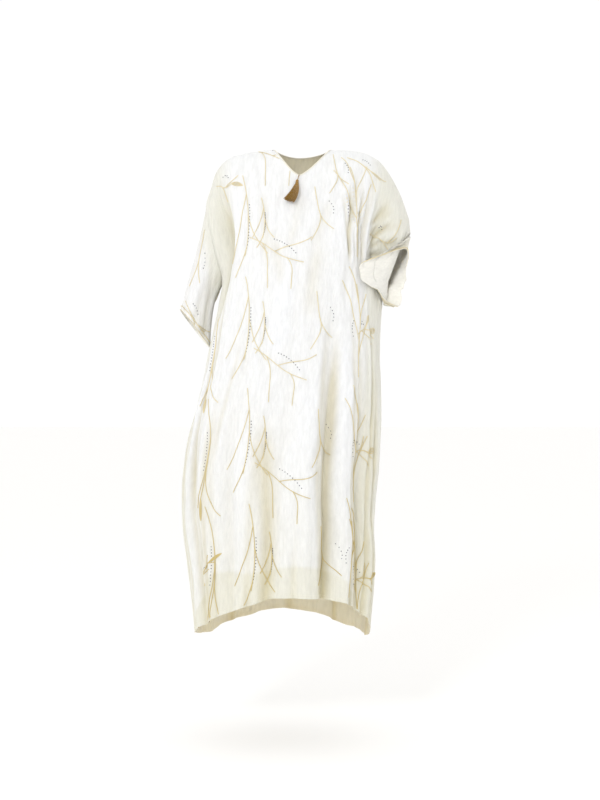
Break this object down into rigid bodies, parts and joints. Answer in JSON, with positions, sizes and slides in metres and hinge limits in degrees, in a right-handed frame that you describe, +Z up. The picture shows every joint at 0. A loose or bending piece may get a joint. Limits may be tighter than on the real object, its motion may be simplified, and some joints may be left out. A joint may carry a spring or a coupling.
{
  "type": "kaftan",
  "caption": "Loose V-neck kaftan, kept hollow in its worn shape: dropped shoulders, wide elbow sleeves, a hem dipping at the sides and a thread tassel at the neck.",
  "frame": {"origin": "between the two ends of the neckline, at the height where the shoulders carry the cloth", "axes": "+Z up along the garment's length, +X towards the wearer's left sleeve, +Y towards the back, so the front faces -Y"},
  "size_m": [0.5932, 0.3416, 1.2535],
  "materials": {
    "panel_cloth": "cream crinkled cotton voile, slightly sheer, matt",
    "neck_edge": "narrow rolled edge of the same cream cotton",
    "tassel_thread": "gold-brown rayon thread with a soft shine"
  },
  "bodies": {
    "root": {"front_panel": "panel_cloth", "back_panel": "panel_cloth", "sleeve_right": "panel_cloth", "sleeve_left": "panel_cloth", "neck_binding": "neck_edge", "tassel": "tassel_thread", "tassel_cord": "tassel_thread"}
  },
  "joints": []
}
